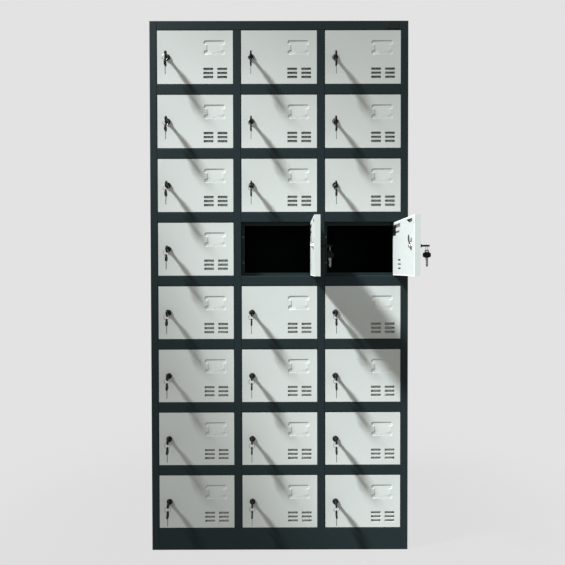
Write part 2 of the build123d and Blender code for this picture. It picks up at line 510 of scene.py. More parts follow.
class Maker:
    """Collects geometry of one piece, in metres, with one or more finishes.

    Faces that meet at less than the flat angle are joined, and edges above the rim angle are rounded.
    """

    FLAT_ANGLE = 0.01
    RIM_ANGLE = 0.9

    def __init__(self, name: str) -> None:
        """Start an empty piece.

        Args:
            name: the piece's name.
        """
        self.name = name
        self.bm = bmesh.new()
        self.finishes: list[Finish] = []

    def add(self, verts: Sequence[Vector], faces: Iterable[Sequence[int]], finish: Finish) -> None:
        """Add a patch of mesh.

        Args:
            verts: its points.
            faces: its faces as numbers of those points.
            finish: what it is finished in.
        """
        if finish not in self.finishes:
            self.finishes.append(finish)
        made = [self.bm.verts.new(v) for v in verts]
        for face in faces:
            f = self.bm.faces.new([made[i] for i in face])
            f.material_index = self.finishes.index(finish)
            f.smooth = True

    def fold(self, section: Fold, place: Matrix, length: float, finish: Finish) -> None:
        """Extrude a folded section.

        Args:
            section: the sheet's section, in place's x and y.
            place: where it starts; the length runs along its z.
            length: how long it is.
            finish: its finish.
        """
        outer, inner = section.sides()
        n = len(outer)
        far = 2 * n
        verts = [place @ Vector((*p, z)) for z in (0.0, length) for p in (*outer, *inner)]
        faces: list[tuple[int, ...]] = []
        for i in range(n - 1):
            j = i + 1
            faces += [(i, j, j + far, i + far), (n + j, n + i, n + i + far, n + j + far)]
            faces += [(j, i, n + i, n + j), (far + i, far + j, far + n + j, far + n + i)]
        faces += [(0, far, far + n, n), (n - 1, 2 * n - 1, far + 2 * n - 1, far + n - 1)]
        self.add(verts, faces, finish)

    def lathe(self, profile: Sequence[Point2], place: Matrix, finish: Finish, sides: int = 28) -> None:
        """Turn a profile of radius and height round place's z.

        Args:
            profile: radius and height of each point; ends at radius 0 are closed.
            place: the axis.
            finish: its finish.
            sides: how many sides the turning has.
        """
        verts: list[Vector] = []
        rings: list[list[int]] = []
        for r, z in profile:
            spots = oval(r, r, sides)[: 1 if r == 0 else sides]
            ring = [len(verts) + k for k in range(len(spots))]
            verts += [place @ Vector((x, y, z)) for x, y in spots]
            rings.append(ring * (sides // len(ring)))
        faces = []
        for low, high in zip(rings, rings[1:]):
            for k in range(sides):
                m = (k + 1) % sides
                face = list(dict.fromkeys((low[k], low[m], high[m], high[k])))
                if len(face) > 2:
                    faces.append(face)
        self.add(verts, faces, finish)

    def plate(
        self,
        outline: Sequence[Point2],
        place: Matrix,
        low: float,
        high: float,
        finish: Finish,
        round_by: float,
        holes: Sequence[Sequence[Point2]] = (),
    ) -> None:
        """A flat plate with softened edges.

        Args:
            outline: its outline, anticlockwise in place's x and y.
            place: its plane.
            low: lower face along z.
            high: upper face along z.
            finish: its finish.
            round_by: how far its edges are rounded.
            holes: outlines cut through it.
        """
        made = bmesh.new()
        edges = []
        for loop in (outline, *holes):
            vs = [made.verts.new((x, y, low)) for x, y in loop]
            edges += [made.edges.new((vs[i], vs[(i + 1) % len(vs)])) for i in range(len(vs))]
        bmesh.ops.triangle_fill(made, use_beauty=True, edges=edges, normal=(0, 0, 1))
        bmesh.ops.dissolve_limit(made, angle_limit=self.FLAT_ANGLE, verts=made.verts, edges=made.edges)
        grown = bmesh.ops.extrude_face_region(made, geom=list(made.faces))
        top = [g for g in grown["geom"] if isinstance(g, bmesh.types.BMVert)]
        bmesh.ops.translate(made, verts=top, vec=(0, 0, high - low))
        bmesh.ops.recalc_face_normals(made, faces=made.faces)
        rim = [
            e
            for e in made.edges
            if len(e.link_faces) == 2
            and e.calc_face_angle(0.0) > self.RIM_ANGLE
            and abs(e.verts[0].co.z - e.verts[1].co.z) < TINY
        ]
        bmesh.ops.bevel(made, geom=rim, offset=round_by, segments=3, profile=0.5, affect="EDGES")
        made.verts.index_update()
        verts = [place @ v.co for v in made.verts]
        faces = [[v.index for v in f.verts] for f in made.faces]
        made.free()
        self.add(verts, faces, finish)

    def hoop(self, path: Sequence[Vector], radius: float, finish: Finish, sides: int = 8) -> None:
        """A closed round wire along a path in a plane across z.

        Args:
            path: its middle line.
            radius: of the wire.
            finish: its finish.
            sides: sides of its section.
        """
        count = len(path)
        verts: list[Vector] = []
        for i, p in enumerate(path):
            side = (path[(i + 1) % count] - path[i - 1]).normalized().cross(Z)
            verts += [p + side * x + Z * y for x, y in oval(radius, radius, sides)]
        faces = []
        for i in range(count):
            j = (i + 1) % count
            for k in range(sides):
                m = (k + 1) % sides
                faces.append((i * sides + k, i * sides + m, j * sides + m, j * sides + k))
        self.add(verts, faces, finish)

    def strip(self, stations: Sequence[Point3], sheet: float, finish: Finish) -> None:
        """A flat bar along y whose width and level change on the way.

        Args:
            stations: y, half width and level of its upper face, from end to end.
            sheet: its thickness.
            finish: its finish.
        """
        corners = ((-1, 0), (1, 0), (1, sheet), (-1, sheet))
        verts = [
            Vector((side * half, y, level - drop))
            for y, half, level in stations
            for side, drop in corners
        ]
        far = len(verts) - 4
        faces = [(3, 2, 1, 0), (far, far + 1, far + 2, far + 3)]
        for a in range(0, far, 4):
            faces += [(a + i, a + (i + 1) % 4, a + 4 + (i + 1) % 4, a + 4 + i) for i in range(4)]
        self.add(verts, faces, finish)

    def mesh(self, sharp: float = 40.0) -> bpy.types.Mesh:
        """Finish the mesh.

        Args:
            sharp: angle in degrees above which an edge stays sharp.

        Returns:
            The mesh with its finishes.
        """
        bmesh.ops.recalc_face_normals(self.bm, faces=self.bm.faces)
        mesh = bpy.data.meshes.new(self.name)
        self.bm.to_mesh(mesh)
        self.bm.free()
        for finish in self.finishes:
            mesh.materials.append(finish.material)
        return settled(mesh, sharp)


def modified(mesh: bpy.types.Mesh, kind: str, settings: dict[str, object]) -> bpy.types.Mesh:
    """Apply one modifier to a mesh.

    Args:
        mesh: the mesh, which is used up.
        kind: the modifier's type.
        settings: its properties.

    Returns:
        The modified mesh, under the same name.
    """
    name = mesh.name
    form = bpy.data.objects.new("form", mesh)
    bpy.context.scene.collection.objects.link(form)
    modifier = form.modifiers.new("form", kind)
    for key, value in settings.items():
        setattr(modifier, key, value)
    made = bpy.data.meshes.new_from_object(form.evaluated_get(bpy.context.evaluated_depsgraph_get()))
    bpy.data.objects.remove(form)
    bpy.data.meshes.remove(mesh)
    made.name = name
    return made


def settled(mesh: bpy.types.Mesh, sharp: float) -> bpy.types.Mesh:
    """Shade a mesh, which is used up: flat faces stay flat up to bends, and sharp is in degrees."""
    mesh.set_sharp_from_angle(angle=math.radians(sharp))
    return modified(mesh, "WEIGHTED_NORMAL", {"keep_sharp": True, "weight": 90})


def place_piece(
    name: str,
    mesh: bpy.types.Mesh,
    body: str,
    stands_for: Sequence[str] = (),
    at: Matrix = ORIGIN,
) -> None:
    """Put a piece in the scene on its body.

    Args:
        name: the piece's name.
        mesh: its mesh, which pieces may share.
        body: the body it moves with.
        stands_for: CAD nodes it replaces.
        at: its place.
    """
    piece = bpy.data.objects.new(name, mesh)
    bpy.context.scene.collection.objects.link(piece)
    piece.matrix_world = at
    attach(piece, body)
    if stands_for:
        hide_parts(*stands_for)
    log.info("piece %s on %s: %d faces", name, body, len(mesh.polygons))


# The locker


@dataclass(frozen=True)
class Layout:
    """Sizes that the sub-assemblies share, in metres, and where the doors are."""

    width: float = 900 * MM
    depth: float = 420 * MM
    height: float = 1850 * MM
    columns: int = 3
    rows: int = 8
    sheet: float = 1 * MM
    post: float = 25 * MM
    rail: float = 34 * MM
    top_rail: float = 31 * MM
    plinth: float = 77 * MM
    rebate: float = 22.5 * MM
    lip: float = 11 * MM
    flange: float = 15 * MM
    gap: float = 2 * MM
    setback: float = 10 * MM
    pin_depth: float = 6 * MM
    pin_radius: float = 2.5 * MM
    pin_reach: float = 6 * MM
    lock_edge: float = 35 * MM
    open_doors: tuple[tuple[int, int, float], ...] = ((4, 2, 88.5), (4, 3, 90.0))

    @property
    def front(self) -> float:
        """Y of the front plane."""
        return -self.depth / 2

    @property
    def back(self) -> float:
        """Y of the back plane."""
        return self.depth / 2

    @property
    def opening_width(self) -> float:
        """Width of a door opening."""
        return (self.width - (self.columns + 1) * self.post) / self.columns

    @property
    def opening_height(self) -> float:
        """Height of a door opening."""
        taken = self.top_rail + self.plinth + (self.rows - 1) * self.rail
        return (self.height - taken) / self.rows

    @property
    def door_width(self) -> float:
        """Width of a door."""
        return self.opening_width - 2 * self.gap

    @property
    def door_height(self) -> float:
        """Height of a door."""
        return self.opening_height - 2 * self.gap

    @property
    def doors(self) -> list[tuple[int, int]]:
        """Row and column of every door."""
        return [(r, c) for r in range(1, self.rows + 1) for c in range(1, self.columns + 1)]

    def left(self, column: int) -> float:
        """X of an opening's left side."""
        return -self.width / 2 + self.post + (column - 1) * (self.opening_width + self.post)

    def bottom(self, row: int) -> float:
        """Z of an opening's bottom."""
        return self.height - self.top_rail - row * self.opening_height - (row - 1) * self.rail

    def turn(self, row: int, column: int) -> float:
        """Angle in radians at which a door stands open."""
        return next((math.radians(a) for r, c, a in self.open_doors if (r, c) == (row, column)), 0.0)

    def hinge(self, row: int, column: int) -> Vector:
        """Middle of a door's hinge axis."""
        x = self.left(column) + self.opening_width - self.gap - self.setback
        return Vector((x, self.front + self.pin_depth, self.bottom(row) + self.opening_height / 2))

    def leaf(self, row: int, column: int) -> Matrix:
        """A door's place: x towards its hinge edge, y up, z out of its face.

        Args:
            row: its row, from the top.
            column: its column, from the left.

        Returns:
            The place.
        """
        t = self.turn(row, column)
        x, z = (math.cos(t), math.sin(t), 0.0), (math.sin(t), -math.cos(t), 0.0)
        return axes(self.hinge(row, column), x, Z, z)

    def lock(self, row: int, column: int) -> Matrix:
        """A lock's place on its door's outer face."""
        shift = (self.setback - self.door_width + self.lock_edge, 0.0, self.pin_depth)
        return self.leaf(row, column) @ Matrix.Translation(shift)


@dataclass
class Carcass:
    """Sides, top, front frame, pins, buffers, the bare badge plate and the plain sheets' finishes.

    The buffer's dome is in shares of its radius and height.
    """

    layout: Layout
    bend: float = 1.8 * MM
    top_corner: float = 1.5 * MM
    top_edge: float = 0.3 * MM
    pin_chamfer: float = 0.5 * MM
    buffer_radius: float = 3.4 * MM
    buffer_height: float = 4.0 * MM
    buffer_dome: tuple[Point2, ...] = (
        (0, 1), (0.45, 0.97), (0.75, 0.86), (0.93, 0.62), (1, 0.3), (1, 0), (0, 0),
    )
    buffer_below: float = 46 * MM
    buffer_above: float = 51 * MM
    badge_middle: Point2 = (394 * MM, 1834.5 * MM)
    badge_size: Point2 = (42 * MM, 21 * MM)
    badge_corner: float = 2 * MM
    badge_thickness: float = 1.2 * MM
    badge_edge: float = 0.4 * MM

    def build(self) -> None:
        """Make and place every carcass piece."""
        self._sides()
        self._posts()
        self._rails()
        self._top()
        self._pins()
        self._buffers()
        self._badge()
        self._plain_nodes()

    def _place(self, maker: Maker, nodes: Sequence[str] = ()) -> None:
        """Place a piece on the carcass, standing in for its CAD nodes."""
        place_piece(maker.name, maker.mesh(), "carcass", nodes)

    def _sides(self) -> None:
        """Side sheets, folded round into the outer posts and the rear flanges."""
        k = self.layout
        for name, side in (("left_side", -1), ("right_side", 1)):
            edge, flange, post = (side * (k.width / 2 - inset) for inset in (0.0, k.flange, k.post))
            rear = ((flange, k.back), (edge, k.back))
            run = (*rear, (edge, k.front), (post, k.front), (post, k.front + k.rebate))
            section = Fold(run if side < 0 else run[::-1], k.sheet, self.bend)
            maker = Maker(name)
            maker.fold(section, ORIGIN, k.height - k.sheet, Finish.FRAME)
            self._place(maker, [f"{name}_panel"])

    def _channel(self, face: float) -> Fold:
        """Section of a folded channel: x across its face, y out of its front.

        Args:
            face: width of its face.

        Returns:
            The section.
        """
        r = self.layout.rebate
        run = ((face / 2, -r), (face / 2, 0.0), (-face / 2, 0.0), (-face / 2, -r))
        return Fold(run, self.layout.sheet, self.bend)

    def _posts(self) -> None:
        """The two uprights between the columns."""
        k = self.layout
        maker = Maker("inner_posts")
        for column in range(2, k.columns + 1):
            place = axes((k.left(column) - k.post / 2, k.front, k.plinth), X, -Y, Z)
            maker.fold(self._channel(k.post), place, k.height - k.top_rail - k.plinth, Finish.FRAME)
        self._place(maker, ["front_posts"])

    def _rails(self) -> None:
        """Top rail, plinth and the rails between the doors."""
        k = self.layout
        maker = Maker("rails")
        long = k.width - 2 * k.post
        runs = [
            (-long / 2, (k.sheet + k.plinth) / 2, k.plinth - k.sheet, long),
            (-long / 2, k.height - (k.top_rail + k.sheet) / 2, k.top_rail - k.sheet, long),
        ]
        for row, column in k.doors:
            if row < k.rows:
                runs.append((k.left(column), k.bottom(row) - k.rail / 2, k.rail, k.opening_width))
        for x, z, face, length in runs:
            maker.fold(self._channel(face), axes((x, k.front, z), Z, -Y, X), length, Finish.FRAME)
        self._place(maker, ["front_rails"])

    def _top(self) -> None:
        """The top sheet with softened edges."""
        k = self.layout
        maker = Maker("top_sheet")
        outline = rounded(k.width, k.depth, self.top_corner)
        place = Matrix.Translation((0, 0, k.height - k.sheet))
        maker.plate(outline, place, 0, k.sheet, Finish.FRAME, self.top_edge)
        self._place(maker, ["top_panel"])

    def _pins(self) -> None:
        """Round hinge pins with chamfered ends."""
        k = self.layout
        maker = Maker("round_pins")
        length = k.gap + k.pin_reach
        r, c = k.pin_radius, self.pin_chamfer
        profile = [(0, 0), (r - c, 0), (r, c), (r, length - c), (r - c, length), (0, length)]
        for row, column in k.doors:
            axis = k.hinge(row, column)
            for z in (k.bottom(row), k.bottom(row) + k.opening_height - length):
                maker.lathe(profile, Matrix.Translation((axis.x, axis.y, z)), Finish.STEEL, 20)
        self._place(maker, ["hinge_pins"])

    def _buffers(self) -> None:
        """Rubber buffers on the latch side of each opening's lip."""
        k = self.layout
        maker = Maker("buffers")
        dome = [(r * self.buffer_radius, h * self.buffer_height) for r, h in self.buffer_dome]
        for row, column in k.doors:
            foot = k.bottom(row)
            for z in (foot + self.buffer_below, foot + k.opening_height - self.buffer_above):
                spot = (k.left(column) + k.lip / 2, k.front + k.rebate, z)
                maker.lathe(dome, axes(spot, X, Z, -Y), Finish.RUBBER, 18)
        self._place(maker)

    def _badge(self) -> None:
        """A bare plate at the right end of the top rail."""
        maker = Maker("badge_plate")
        x, z = self.badge_middle
        outline = rounded(*self.badge_size, self.badge_corner)
        place = axes((x, self.layout.front, z), X, Z, -Y)
        maker.plate(outline, place, 0, self.badge_thickness, Finish.DARK_PLATE, self.badge_edge)
        self._place(maker)

    def _plain_nodes(self) -> None:
        """Finish the flat CAD sheets that stay as they are."""
        finishes = {
            "base_panel": Finish.FRAME,
            "back_panel": Finish.BACK,
            "stop_strips": Finish.FRAME,
            # Partitions and shelves take the inside coat, darkened as painted shade.
            "partitions": Finish.INSIDE,
            "shelves": Finish.INSIDE,
        }
        for name, finish in finishes.items():
            node = frame["nodes"][name]
            node.data.materials.clear()
            node.data.materials.append(finish.material)
            log.info("finish on %s", name)


@dataclass(frozen=True)
class CardHolder:
    """The card holder pressed into a door: a body, a wider head, two feet and a nib between them.

    Its left foot flares up into the body, and its right walls are softer than its left ones.
    """

    middle: Point2 = (-54.0 * MM, 33.3 * MM)
    size: Point2 = (72 * MM, 47 * MM)
    waist: float = 52 * MM
    ear: float = 6.5 * MM
    ear_roundness: float = 0.9
    depth: float = 1.7 * MM
    fade_down: float = 0.92
    fade_across: float = 0.3
    wall: float = 3.6 * MM
    softness: float = 2.6
    feet: Point2 = (1.1 * MM, 0.5 * MM)
    flare_rise: float = 2.2
    flare_inset: float = 1.5 * MM
    nib_half: Point2 = (4 * MM, 2.5 * MM)
    nib_corner: float = 2 * MM
    nib_depth: float = 0.3 * MM
    nib_reach: float = 6.4 * MM
    margin: float = 2.4 * MM
    step: float = 0.8 * MM

    def _near(self, spots: Iterable[float], reach: float) -> list[float]:
        """Places a step apart around each spot, as far as the reach."""
        count = int(reach / self.step)
        return [spot + k * self.step for spot in spots for k in range(-count, count + 1)]

    def lines(self) -> tuple[list[float], list[float]]:
        """Where the door's face needs close lines.

        Returns:
            The x of the upright lines and the y of the level ones.
        """
        (cx, cy), half, tall, waist = self.middle, *(s / 2 for s in (*self.size, self.waist))
        side = (half + waist) / 2
        xs = self._near((cx - side, cx + side), (half - waist) / 2 + self.margin)
        xs += self._near((cx,), self.nib_reach)
        return xs, self._near((cy + tall - self.ear, cy - tall + self.ear), self.ear + self.margin)

    def press(self, x: float, y: float) -> float:
        """How deep the door's face is pressed at a point.

        Args:
            x: across the door.
            y: up the door.

        Returns:
            Depth below the face.
        """
        x, y = x - self.middle[0], y - self.middle[1]
        half, tall = self.size[0] / 2, self.size[1] / 2
        waist, ear, wall = self.waist / 2, self.ear, self.wall
        soft = self.softness * wall
        body = min(wall_step(waist + x, wall), wall_step(waist - x, soft))
        body = min(body, wall_step(tall - abs(y), wall))
        head = wall_step(-box_distance(x, y - tall + ear, half, ear, ear * self.ear_roundness), wall)
        fall = 1 - self.fade_down * wall_step(tall - 2 * ear - y, 3 * tall)
        fall *= 1 - self.fade_across * wall_step(x, 2 * half)
        pressed = self.depth * fall * max(body, min(head, wall_step(half - x, soft)))
        foot = wall_step(ear - math.hypot(abs(x) - half + ear, y + tall - ear), wall)
        nib_x, nib_y = self.nib_half
        nib = wall_step(-box_distance(x, y + tall - nib_y, nib_x, nib_y, self.nib_corner), wall)
        left_foot, right_foot = self.feet
        ends = left_foot * max(foot, self._flare(x, y)) if x < 0 else right_foot * foot
        return max(pressed, ends, self.nib_depth * nib)

    def _flare(self, x: float, y: float) -> float:
        """How far down the flare between body and foot a point is.

        Args:
            x: across, from the holder's middle.
            y: up, from the holder's middle.

        Returns:
            0 outside of it and 1 on its floor.
        """
        half, tall = self.size[0] / 2, self.size[1] / 2
        waist, ear, inset = self.waist / 2, self.ear, self.flare_inset
        slope = (abs(x) - waist - abs(y) + tall - self.flare_rise * ear) * math.sqrt(0.5)
        outside = max(slope, abs(x) - half + inset, inset - tall - y, y, waist - ear - abs(x))
        return wall_step(-outside, self.wall)


@dataclass(frozen=True)
class HingeBolt:
    """The sprung hinge bolt inside a door's top corner: housing, rim, rod and its two arms.

    Each arm, the upper one first, is given by its height, far end and half the height of its slot.
    Block and rim are given by how much smaller than the pocket they are, and how far they reach
    behind the door's back and in front of it.
    """

    pocket: tuple[float, float, float, float] = (-30 * MM, 5.5 * MM, 45 * MM, 82 * MM)
    arms: tuple[Point3, ...] = ((76 * MM, -86 * MM, 6 * MM), (55.5 * MM, -76 * MM, 3.5 * MM))
    block: Point3 = (1 * MM, 0.6 * MM, 15.5 * MM)
    block_corner: float = 3 * MM
    block_edge: float = 0.8 * MM
    rim: Point3 = (10 * MM, 2.2 * MM, -0.4 * MM)
    rim_corner: float = 2 * MM
    rim_edge: float = 0.6 * MM
    rod_inset: float = 1 * MM
    rod_overlap: float = 0.8 * MM
    arm_overlap: Point2 = (6 * MM, 3 * MM)
    arm_levels: Point2 = (1.6 * MM, 3.2 * MM)
    arm_corner: float = 1.5 * MM
    arm_edge: float = 0.4 * MM

    def opening(self) -> list[Point2]:
        """Outline of the hole that the bolt and its arms need in the inner sheet.

        Returns:
            The outline, anticlockwise.
        """
        left, right, foot, head = self.pocket
        (high, high_end, high_half), (low, low_end, low_half) = self.arms
        over, top, under = high - high_half, low + low_half, low - low_half
        upper = [(high_end, head), (high_end, over), (left, over)]
        lower = [(left, top), (low_end, top), (low_end, under), (left, under)]
        return [(right, head), *upper, *lower, (left, foot), (right, foot)]

    def add_to(self, maker: Maker, back: float, rod: float, top: float) -> None:
        """Add the bolt to a piece.

        Args:
            maker: the piece.
            back: level of the door's back.
            rod: the bolt's radius.
            top: height that the bolt reaches.
        """
        left, right, foot, head = self.pocket
        middle = ((left + right) / 2, (foot + head) / 2)
        block = (*self.block, self.block_corner, self.block_edge)
        for inset, under, over, corner, edge in (block, (*self.rim, self.rim_corner, self.rim_edge)):
            outline = rounded(right - left - inset, head - foot - inset, corner, 4, middle)
            maker.plate(outline, ORIGIN, back - under, back + over, Finish.BLACK, edge)
        reach = top - head + self.rod_overlap
        place = axes((0, head - self.rod_inset, 0), X, -Z, Y)
        maker.lathe([(0, 0), (rod, 0), (rod, reach), (0, reach)], place, Finish.STEEL, 16)
        long, tall = self.arm_overlap
        low, high = self.arm_levels
        for level, end, half in self.arms:
            spot = ((left + end) / 2, level)
            bar = rounded(left - end + long, 2 * half + tall, self.arm_corner, 3, spot)
            maker.plate(bar, ORIGIN, back + low, back + high, Finish.ZINC, self.arm_edge)


@dataclass
class Leaf:
    """A door: a folded tray with a card holder and louvres, its inner sheet and hinge fittings.

    The louvre blade's line is in rises from the slot's foot and depths behind the face.
    """

    layout: Layout
    holder: CardHolder = CardHolder()
    bolt: HingeBolt = HingeBolt()
    thickness: float = 18 * MM
    sheet: float = 1 * MM
    hem: float = 3 * MM
    bend: float = 1.7 * MM
    dish: float = 0.6 * MM
    dish_power: int = 8
    slot_size: Point2 = (34 * MM, 8.4 * MM)
    slot_border: float = 0.7 * MM
    slot_columns: tuple[float, ...] = (-75.4 * MM, -27 * MM)
    slot_rows: tuple[float, ...] = (-68.4 * MM, -54.3 * MM, -40.2 * MM)
    blade_line: tuple[Point2, ...] = mm(
        (0.05, 1.5), (-0.9, 1.9), (-2.2, 3.2), (-2.2, 5.6), (-0.4, 8.2), (3.4, 10), (8.4, 11.5)
    )
    line_margin: float = 3 * MM
    line_step: float = 12 * MM
    widest: float = 16 * MM
    closest: float = 0.35 * MM
    slot_clearance: float = 0.5 * MM
    bushing_gap: float = 0.15 * MM
    bushing_wall: float = 1.6 * MM
    bushing_ends: Point2 = (-0.4 * MM, 1.6 * MM)
    liner_gap: float = 0.3 * MM
    liner_corner: float = 1 * MM
    liner_edge: float = 0.2 * MM
    lock_hole: float = 8.7 * MM
    vent_height: float = 5 * MM
    vent_corner: float = 1.2 * MM
    relief: tuple[Point2, ...] = mm((-160, 84.5), (-226, 84.5), (-226, 74), (-217, 66))
    gusset: tuple[Point2, ...] = mm((-148, 89), (-234, 89), (-234, 58), (-212, 58))
    gusset_depth: float = 7 * MM

    @property
    def left(self) -> float:
        """X of the free edge."""
        return self.layout.setback - self.layout.door_width

    @property
    def right(self) -> float:
        """X of the hinge edge."""
        return self.layout.setback

    @property
    def top(self) -> float:
        """Y of the top edge; the bottom edge is as far below the middle."""
        return self.layout.door_height / 2

    @property
    def back(self) -> float:
        """Z of the back, measured like all levels from the hinge axis."""
        return self.layout.pin_depth - self.thickness

    @property
    def slots(self) -> list[Point2]:
        """Middles of the louvre slots."""
        return [(x, y) for x in self.slot_columns for y in self.slot_rows]

    def press(self, x: float, y: float) -> float:
        """How deep the face is pressed at a point: the card holder, and the panel's slight dish.

        Args:
            x: across the door.
            y: up the door.

        Returns:
            Depth below the face.
        """
        across = 2 * (x - (self.left + self.right) / 2) / self.layout.door_width
        up = 2 * y / self.layout.door_height
        dish = self.dish * max(0.0, 1 - across**self.dish_power) * max(0.0, 1 - up * up)
        return self.holder.press(x, y) + dish

    def _lines(self, low: float, high: float, stops: Iterable[float]) -> list[float]:
        """Grid lines between two edges, close together where the face is pressed.

        Args:
            low: one edge.
            high: the other edge.
            stops: places where lines are needed.

        Returns:
            The lines in order.
        """
        first, last = low + self.line_margin, high - self.line_margin
        needed = (low, high, first, last, *(s for s in stops if first < s < last))
        ordered = sorted({round(line, 7) for line in needed})
        kept = [ordered[0]]
        for line in ordered[1:]:
            while line - kept[-1] > self.widest:
                kept.append(kept[-1] + self.line_step)
            if line - kept[-1] > self.closest:
                kept.append(line)
        kept[-1] = high
        return kept

    def _grid(self) -> tuple[list[float], list[float]]:
        """Lines of the face, along the card holder's walls and the slots' edges.

        Returns:
            The x of the upright lines and the y of the level ones.
        """
        xs, ys = self.holder.lines()
        half, tall = self.slot_size[0] / 2, self.slot_size[1] / 2
        wide = half + self.slot_border
        edges_x = [x + w for x in self.slot_columns for w in (-wide, -half, half, wide)]
        edges_y = [y + h for y in self.slot_rows for h in (-tall, tall, -tall - self.slot_border)]
        clear = [x for x in xs if all(abs(x - edge) > self.slot_clearance for edge in edges_x)]
        upright = self._lines(self.left, self.right, clear + edges_x)
        return upright, self._lines(-self.top, self.top, ys + edges_y)

    def _face(self, bm: bmesh.types.BMesh) -> list[bmesh.types.BMVert]:
        """Make the flat face with its slots open.

        Args:
            bm: the tray's mesh.

        Returns:
            The points of its rim, in order round it.
        """
        xs, ys = self._grid()
        half, tall = self.slot_size[0] / 2, self.slot_size[1] / 2
        grid = [[bm.verts.new((x, y, self.layout.pin_depth)) for y in ys] for x in xs]
        for i, x in enumerate((a + b) / 2 for a, b in zip(xs, xs[1:])):
            for j, y in enumerate((a + b) / 2 for a, b in zip(ys, ys[1:])):
                if not any(abs(x - sx) < half and abs(y - sy) < tall for sx, sy in self.slots):
                    bm.faces.new((grid[i][j], grid[i + 1][j], grid[i + 1][j + 1], grid[i][j + 1]))
        up, down = grid[-1][1:], grid[0][-2:0:-1]
        return [line[0] for line in grid] + up + [line[-1] for line in grid[-2::-1]] + down

    def _walls(self, bm: bmesh.types.BMesh, rim: Sequence[bmesh.types.BMVert]) -> None:
        """Fold the rim back into walls and in again to a hem.

        Args:
            bm: the tray's mesh.
            rim: the points of the face's rim, in order.
        """
        left, right, top = self.left + self.hem, self.right - self.hem, self.top - self.hem
        low = [bm.verts.new((v.co.x, v.co.y, self.back)) for v in rim]
        spots = [(min(max(v.co.x, left), right), min(max(v.co.y, -top), top)) for v in rim]
        inner = [bm.verts.new((*spot, self.back)) for spot in spots]
        for k in range(len(rim)):
            m = (k + 1) % len(rim)
            bm.faces.new((rim[m], rim[k], low[k], low[m]))
            bm.faces.new((low[m], low[k], inner[k], inner[m]))

    def _blade(self, bm: bmesh.types.BMesh, slot: Point2, face: Sequence[bmesh.types.BMVert]) -> None:
        """Push a louvre blade in from the foot of its slot.

        Args:
            bm: the tray's mesh.
            slot: the slot's middle.
            face: the points of the door's face.
        """
        end, foot = self.slot_size[0] / 2 + TINY, slot[1] - self.slot_size[1] / 2
        edge = [v for v in face if abs(v.co.y - foot) < TINY and abs(v.co.x - slot[0]) < end]
        rows = [sorted(edge, key=lambda v: v.co.x)]
        for rise, depth in self.blade_line:
            rows.append([bm.verts.new((v.co.x, foot + rise, v.co.z - depth)) for v in rows[0]])
        for low, high in zip(rows, rows[1:]):
            for i in range(len(low) - 1):
                bm.faces.new((low[i], low[i + 1], high[i + 1], high[i]))

    def tray(self) -> bpy.types.Mesh:
        """Make the tray as an outer skin and thicken it to its sheet.

        Returns:
            The mesh.
        """
        bm = bmesh.new()
        self._walls(bm, self._face(bm))
        angle = Maker.RIM_ANGLE
        bends = [e for e in bm.edges if len(e.link_faces) == 2 and e.calc_face_angle(0.0) > angle]
        bmesh.ops.bevel(bm, geom=bends, offset=self.bend, segments=4, profile=0.5, affect="EDGES")
        face = [v for v in bm.verts if abs(v.co.z - self.layout.pin_depth) < TINY]
        for slot in self.slots:
            self._blade(bm, slot, face)
        for v in face:
            v.co.z -= self.press(v.co.x, v.co.y)
        bmesh.ops.remove_doubles(bm, verts=bm.verts, dist=2 * TINY)
        bmesh.ops.recalc_face_normals(bm, faces=bm.faces)
        if max(bm.faces, key=lambda f: f.calc_center_median().z).normal.z < 0:
            bmesh.ops.reverse_faces(bm, faces=bm.faces)
        for f in bm.faces:
            f.smooth = True
        skin = bpy.data.meshes.new("door_tray")
        bm.to_mesh(skin)
        bm.free()
        skin.materials.append(Finish.DOOR.material)
        sheet = {"thickness": self.sheet, "offset": -1.0, "use_even_offset": True}
        return settled(modified(skin, "SOLIDIFY", sheet), 50.0)

    def fittings(self) -> bpy.types.Mesh:
        """Make the bushings round the hinge pins and the sprung hinge bolt.

        Returns:
            The mesh.
        """
        maker = Maker("hinge_fittings")
        inner = self.layout.pin_radius + self.bushing_gap
        outer = inner + self.bushing_wall
        low, high = self.bushing_ends
        ring = [(inner, low), (outer, low), (outer, high), (inner, high), (inner, low)]
        for side in (-1, 1):
            place = axes((0, side * (self.top - 2 * self.sheet), 0), X, -Z, Y)
            maker.lathe(ring, place, Finish.BLACK, 20)
        self.bolt.add_to(maker, self.back, self.layout.pin_radius, self.top - self.layout.pin_reach)
        return maker.mesh()

    def liner(self) -> bpy.types.Mesh:
        """Make the flush sheet behind the tray, with its holes, and the gusset behind it.

        Returns:
            The mesh.
        """
        maker = Maker("door_liner")
        inset = self.hem + self.liner_gap
        width, height = self.right - self.left - 2 * inset, 2 * self.top - 2 * inset
        outline = rounded(width, height, self.liner_corner, 3, ((self.left + self.right) / 2, 0.0))
        hole = oval(self.lock_hole, self.lock_hole, 24, (self.left + self.layout.lock_edge, 0.0))
        vents = [
            rounded(self.slot_size[0], self.vent_height, self.vent_corner, 3, (self.slot_columns[0], y))
            for y in self.slot_rows
        ]
        holes = [self.bolt.opening(), hole, self.relief, *vents]
        for flat, depth, cut in ((outline, 0.0, holes), (self.gusset, self.gusset_depth, ())):
            low = self.back + depth
            maker.plate(flat, ORIGIN, low, low + self.sheet, Finish.DOOR, self.liner_edge, cut)
        return maker.mesh()

    def build(self) -> None:
        """Make the tray, liner and fittings once and hang a set on every door body."""
        tray, fittings, liner = self.tray(), self.fittings(), self.liner()
        for row, column in self.layout.doors:
            tag = f"r{row}c{column}"
            at = self.layout.leaf(row, column)
            place_piece(f"leaf_{tag}", tray, f"door_{tag}", [f"door_{tag}"], at)
            place_piece(f"liner_{tag}", liner, f"door_{tag}", (), at)
            place_piece(f"hinge_bolt_{tag}", fittings, f"door_{tag}", (), at)


